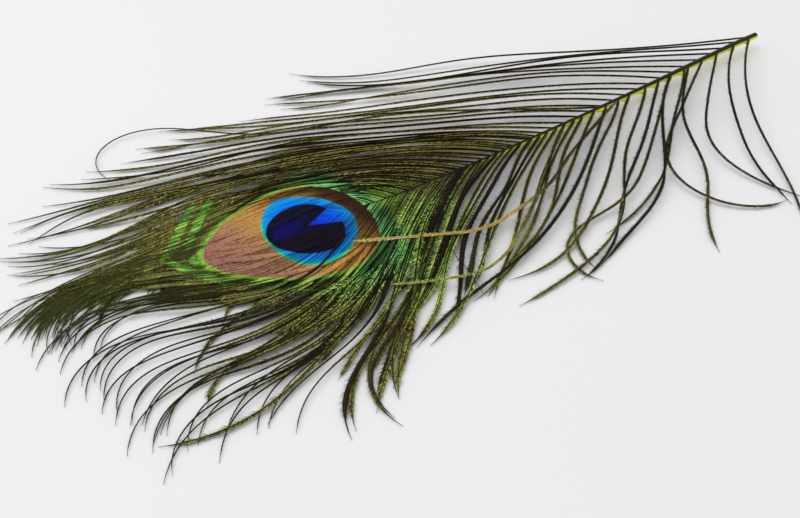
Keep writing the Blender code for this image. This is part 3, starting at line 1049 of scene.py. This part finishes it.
def shade_seams(tree, marks, colour, shade):
    """Paints shade on a web: a painted shadow at its edges, where the next one shades it, and most of all
    where it is loose, as painted shade for the gaps between the barbs.
    """
    for key, source, low, high, least, most in (
        ("outside", "bronze", 1.0, 1.06, 0.5, 0.97),
        ("even", "tipside", 0.0, 1.0, 1.0, 0.35),
        ("starts", "bronze", 1.0, 1.06, 0.32, 0.1),
        ("loose", "vane", 0.9, 0.2, 0.0, 0.6),
        ("tipmost", "x", -0.025, -0.05, 1.0, 0.25),
        ("plain", "gold", 0.0, 1.0, 1.0, 0.15),
    ):
        span = {"Value": marks[source], 1: low, 2: high, 3: least, 4: most}
        marks[key] = add_node(tree, "ShaderNodeMapRange", span)
    edge = add_node(tree, "ShaderNodeMath", {0: marks["across"]}, operation="ABSOLUTE")
    off_axis_share = {"Value": marks["axis"], 1: 0.5, 2: 5.0, 3: 0.2, 4: marks["even"]}
    beside = add_node(tree, "ShaderNodeMapRange", off_axis_share)
    depth = add_node(tree, "ShaderNodeMath", {0: marks["outside"], 1: beside}, operation="MULTIPLY")
    ends = add_node(tree, "ShaderNodeMath", {0: marks["starts"], 1: 0.5}, operation="ADD")
    seam = add_node(tree, "ShaderNodeMapRange", {"Value": edge, 1: marks["starts"], 2: ends, 4: depth})
    loose_web_shade = add_node(tree, "ShaderNodeMath", {0: marks["loose"], 1: marks["tipmost"]}, operation="MULTIPLY")
    darkest_shade = add_node(tree, "ShaderNodeMath", {0: seam, 1: loose_web_shade}, operation="MAXIMUM")
    dark = add_node(tree, "ShaderNodeMath", {0: darkest_shade, 1: marks["plain"]}, operation="MULTIPLY")
    return add_node(tree, "ShaderNodeMix", {0: dark, 6: colour, 7: shade}, data_type="RGBA").outputs[2]


def ramus_keratin():
    """Rami of keratin full of melanin, as smooth as they grew: thin dark lines with a low gloss."""
    material, tree, finish = new_material("melanin_keratin_as_grown", 0.42, 1.55, 0.06)
    marks = {
        key: add_node(tree, "ShaderNodeAttribute", attribute_name=key).outputs["Fac"]
        for key in ("along", "vane", "tipside", "gold")
    }
    along = {0.0: "#0e0b05", 0.5: "#1a160a", 1.0: "#2e2a18"}
    colour = add_node(tree, "ShaderNodeValToRGB", {"Fac": marks["along"]}, stops=along)
    for key, over in (("vane", "#2a1c10"), ("tipside", "#484c24"), ("gold", "#b99a50")):
        layer = {0: marks[key], 6: colour, 7: linear(over)}
        colour = add_node(tree, "ShaderNodeMix", layer, data_type="RGBA").outputs[2]
    tree.links.new(colour, finish)
    return material


def shaft_keratin(colours):
    """Shaft of solid keratin as it grew: softly glossy, near-black on top, yellow-green on its flanks."""
    material, tree, finish = new_material("shaft_keratin_as_grown", 0.38, 1.55, 0.12)
    flank = add_node(tree, "ShaderNodeAttribute", attribute_name="flank").outputs["Fac"]
    stops = {0.0: tuple(colours.shaft), 0.4: "#3a350f", 0.6: "#a8ac1a", 1.0: tuple(colours.flank)}
    colour = add_node(tree, "ShaderNodeValToRGB", {"Fac": flank}, stops=stops)
    tree.links.new(colour.outputs[0], finish)
    return material


def painted_board(colours):
    """A board under matt white paint, rolled on: an even pale surface with a faint unevenness."""
    material, tree, finish = new_material("matt_white_paint_rolled_on_board", 0.75, 1.5, 0.3)
    place = add_node(tree, "ShaderNodeTexCoord").outputs["Object"]
    cloud = add_node(tree, "ShaderNodeTexNoise", {"Vector": place, "Scale": 1 / (CLOUD * MM), "Detail": 1.0})
    darker = [0.97 * value for value in tuple(colours.surface)[:3]] + [1.0]
    paint = {0: cloud, 6: tuple(colours.surface), 7: darker}
    mixed = add_node(tree, "ShaderNodeMix", paint, data_type="RGBA")
    tree.links.new(mixed.outputs[2], finish)
    return material


def shaft_mesh(cut_width):
    """The shaft as a round bar that narrows to the tip, with a corner at the root of each lower barb."""
    places, flanks, faces = [], [], []
    x, y = SHAFT_LINE[:, 0], SHAFT_LINE[:, 1]
    widths = mix(SHAFT_WIDTH_TIP, cut_width, smooth_step(x, x[0], x[-1]) ** 1.5)
    heights = mix(SHAFT_LINE[:, 2], eye_height(x, y), smooth_step(eye_share(x, y), 1.15, 0.95))
    heights -= SHAFT_SINKS * smooth_step(ring_share(BLUE_RING, x, y), 1.1, 0.95)
    angles = np.arange(SHAFT_SIDES) * 2 * math.pi / SHAFT_SIDES
    for point, width, height, aside in zip(SHAFT_LINE, widths, heights, level_across(SHAFT_LINE)):
        ring = point + np.cos(angles)[:, None] * aside * width / 2
        ring[:, 2] = height + np.sin(angles) * width / 2
        places += list(ring)
        flanks += list(smooth_step(np.sin(angles), 0.8, 0.0) * smooth_step(point[0], 35, 70))
    count = len(SHAFT_LINE)
    for i in range(count - 1):
        for k in range(SHAFT_SIDES):
            a, b = i * SHAFT_SIDES + k, i * SHAFT_SIDES + (k + 1) % SHAFT_SIDES
            faces.append((b, a, a + SHAFT_SIDES, b + SHAFT_SIDES))
    faces.append(tuple(range(SHAFT_SIDES)))
    faces.append(tuple(reversed(range((count - 1) * SHAFT_SIDES, count * SHAFT_SIDES))))
    for root_x, _ in root_places(-1, np.random.default_rng(SEED - 1)):
        if root_x >= CORNERS_ABOVE_X:
            corner = root_corner(root_x)
            faces += [tuple(len(places) + i for i in face) for face in CORNER_FACES]
            flanks += [1.0] * len(corner)
            places += corner
    mesh = bpy.data.meshes.new("shaft")
    mesh.from_pydata(np.array(places) * MM, [], faces)
    store(mesh, {"flank": flanks})
    mesh.shade_smooth()
    mesh.set_sharp_from_angle(angle=math.radians(50))
    return mesh


def root_corner(root_x):
    """The six points of the corner at a lower barb's root: three on top and three below."""
    root = on_shaft(root_x)
    heading = math.radians(CORNER_HEADING)
    outward = np.array([-math.cos(heading), -math.sin(heading), 0])
    tipward = on_shaft(root_x - CORNER_ALONG) - root
    size = smooth_step(root_x, CORNERS_ABOVE_X - 12, CORNERS_ABOVE_X + 30)
    top = (root + [0.5, 0, 0], root + tipward * size, root + outward * CORNER_OUT * size)
    return [point - [0, 0, drop] for drop in (CORNER_DROP, CORNER_DROP + CORNER_HEIGHT) for point in top]


def declare(made):
    """Lets a piece ride on the feather's body and stand for its solid."""
    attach(made, "root")
    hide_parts("feather")


def make_strands(part, sides, flatness, finish):
    """Makes a strand along every barb, one piece for each side of the feather."""
    tree = strand_tree()
    values = {"Sides": sides, "Flatness": flatness, "Finish": finish}
    for side, label in LABELS.items():
        source = path_object(side_barbs(side), part)
        declare(bake_tree(source, tree, values, f"{part}_{label}"))


class FeatherSizes(bpy.types.PropertyGroup):
    """Sizes that a user would change"""

    shaft_width: FloatProperty(
        name="Shaft width", description="Width of the shaft at its cut end", default=2.1 * MM, unit="LENGTH"
    )
    barbule_pitch: FloatProperty(
        name="Barbule pitch", description="Spacing of barbules along a barb", default=0.32 * MM, unit="LENGTH"
    )
    barbule_width: FloatProperty(
        name="Barbule width", description="Width of a barbule at its root", default=0.34 * MM, unit="LENGTH"
    )
    barbule_angle: FloatProperty(
        name="Barbule angle",
        description="Angle between a barbule and its barb",
        default=math.radians(38),
        subtype="ANGLE",
    )


def swatch(name, description, colour):
    """A colour that a user would change, from its hex value."""
    return FloatVectorProperty(
        name=name, description=description, default=linear(colour), size=4, subtype="COLOR"
    )


class FeatherColours(bpy.types.PropertyGroup):
    """Colours that a user would change"""

    olive: swatch("Olive", "Lit barbules outside the eye", "#c6bf66")
    brown: swatch("Brown", "Brown patches of the barbs", "#5a4822")
    shade: swatch("Shade", "Barbules in shade and seams", "#15120a")
    lime: swatch("Lime", "Thin line round the bronze", "#84b83c")
    heart: swatch("Heart", "Dark heart of the eye", "#07061c")
    shaft: swatch("Shaft", "Top of the shaft", "#1a1608")
    flank: swatch("Flank", "Flanks of the shaft", "#d8de2c")
    surface: swatch("Surface", "Surface it lies on", "#e2e1e1")


class FEATHER_OT_shaft(bpy.types.Operator):
    """Makes the shaft, with a yellow-green corner at each lower barb's root"""

    bl_idname = "feather.shaft"
    bl_label = "Make the shaft"

    def execute(self, context):
        mesh = shaft_mesh(context.scene.feather_sizes.shaft_width / MM)
        mesh.materials.append(shaft_keratin(context.scene.feather_colours))
        declare(new_object("shaft", mesh))
        return {"FINISHED"}


class FEATHER_OT_rami(bpy.types.Operator):
    """Makes the rami, the thin dark middle of every barb"""

    bl_idname = "feather.rami"
    bl_label = "Make the rami"

    def execute(self, context):
        make_strands("rami", 3, 1.0, ramus_keratin())
        return {"FINISHED"}


class FEATHER_OT_webs(bpy.types.Operator):
    """Makes the webs, where barbules lie close beside their barb or hook into the eye's vane"""

    bl_idname = "feather.webs"
    bl_label = "Make the webs"

    def execute(self, context):
        colours = context.scene.feather_colours
        make_strands("webs", 4, 0.1, barbule_keratin("barbule_keratin_hooked_into_a_vane", colours, True))
        return {"FINISHED"}


class FEATHER_OT_barbules(bpy.types.Operator):
    """Makes the loose barbules along the barbs"""

    bl_idname = "feather.barbules"
    bl_label = "Make the barbules"

    def execute(self, context):
        sizes = context.scene.feather_sizes
        tree = barbule_tree()
        values = {
            "Pitch": sizes.barbule_pitch,
            "Width": sizes.barbule_width,
            "Angle": sizes.barbule_angle,
            "Seed": SEED,
            "Finish": barbule_keratin("barbule_keratin_grown_loose", context.scene.feather_colours, False),
        }
        for side, label in LABELS.items():
            barbs = side_barbs(side)
            for kind in KINDS:
                source = path_object([barb for barb in barbs if barb.kind == kind], "barbules")
                declare(bake_tree(source, tree, values, f"barbules_{label}_{kind}"))
        return {"FINISHED"}


class FEATHER_OT_stage(bpy.types.Operator):
    """Makes the pale surface, the soft light and the camera"""

    bl_idname = "feather.stage"
    bl_label = "Make the stage"

    def execute(self, context):
        scene = context.scene
        bpy.ops.mesh.primitive_plane_add(size=FLOOR_SIZE, location=(0, 0, 0))
        floor = context.object
        floor.name = "floor"
        floor.data.materials.append(painted_board(scene.feather_colours))

        world = bpy.data.worlds.new("soft room light")
        world.use_nodes = True
        sky = world.node_tree.nodes["Background"].inputs
        sky["Color"].default_value = linear("#f4f5f7")
        sky["Strength"].default_value = SKY_STRENGTH
        scene.world = world

        lamp = bpy.data.lights.new("window", "AREA")
        lamp.energy = LAMP_POWER
        lamp.size = LAMP_SIZE
        holder = new_object("window", lamp)
        holder.location = LAMP_PLACE
        middle = Vector((BOX_LOW + BOX_HIGH) / 2 * MM)
        holder.rotation_euler = (middle - holder.location).to_track_quat("-Z", "Y").to_euler()

        camera = bpy.data.cameras.new("camera")
        camera.lens = CAMERA_LENS
        camera.sensor_width = 36.0
        camera.clip_start = 0.01
        eye = new_object("camera", camera)
        eye.location = CAMERA_PLACE
        eye.rotation_euler = [math.radians(turn) for turn in CAMERA_TURN]
        scene.camera = eye
        scene.view_settings.view_transform = "Standard"
        return {"FINISHED"}


class FEATHER_PT_panel(bpy.types.Panel):
    """Lists the feather's sizes, colours and makers"""

    bl_label = "Feather"
    bl_idname = "FEATHER_PT_panel"
    bl_space_type = "VIEW_3D"
    bl_region_type = "UI"
    bl_category = "Feather"

    def draw(self, context):
        for group in (context.scene.feather_sizes, context.scene.feather_colours):
            for key in group.__annotations__:
                self.layout.prop(group, key)
        for maker in MAKERS:
            self.layout.operator(maker.bl_idname)


MAKERS = (FEATHER_OT_shaft, FEATHER_OT_rami, FEATHER_OT_webs, FEATHER_OT_barbules, FEATHER_OT_stage)
CLASSES = (FeatherSizes, FeatherColours, *MAKERS, FEATHER_PT_panel)


def register():
    for one in CLASSES:
        bpy.utils.register_class(one)
    bpy.types.Scene.feather_sizes = PointerProperty(type=FeatherSizes)
    bpy.types.Scene.feather_colours = PointerProperty(type=FeatherColours)


def unregister():
    del bpy.types.Scene.feather_colours
    del bpy.types.Scene.feather_sizes
    for one in reversed(CLASSES):
        bpy.utils.unregister_class(one)


def main():
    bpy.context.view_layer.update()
    register()
    bpy.ops.feather.shaft()
    bpy.ops.feather.rami()
    bpy.ops.feather.webs()
    bpy.ops.feather.barbules()
    bpy.ops.feather.stage()


if __name__ == "__main__":
    main()
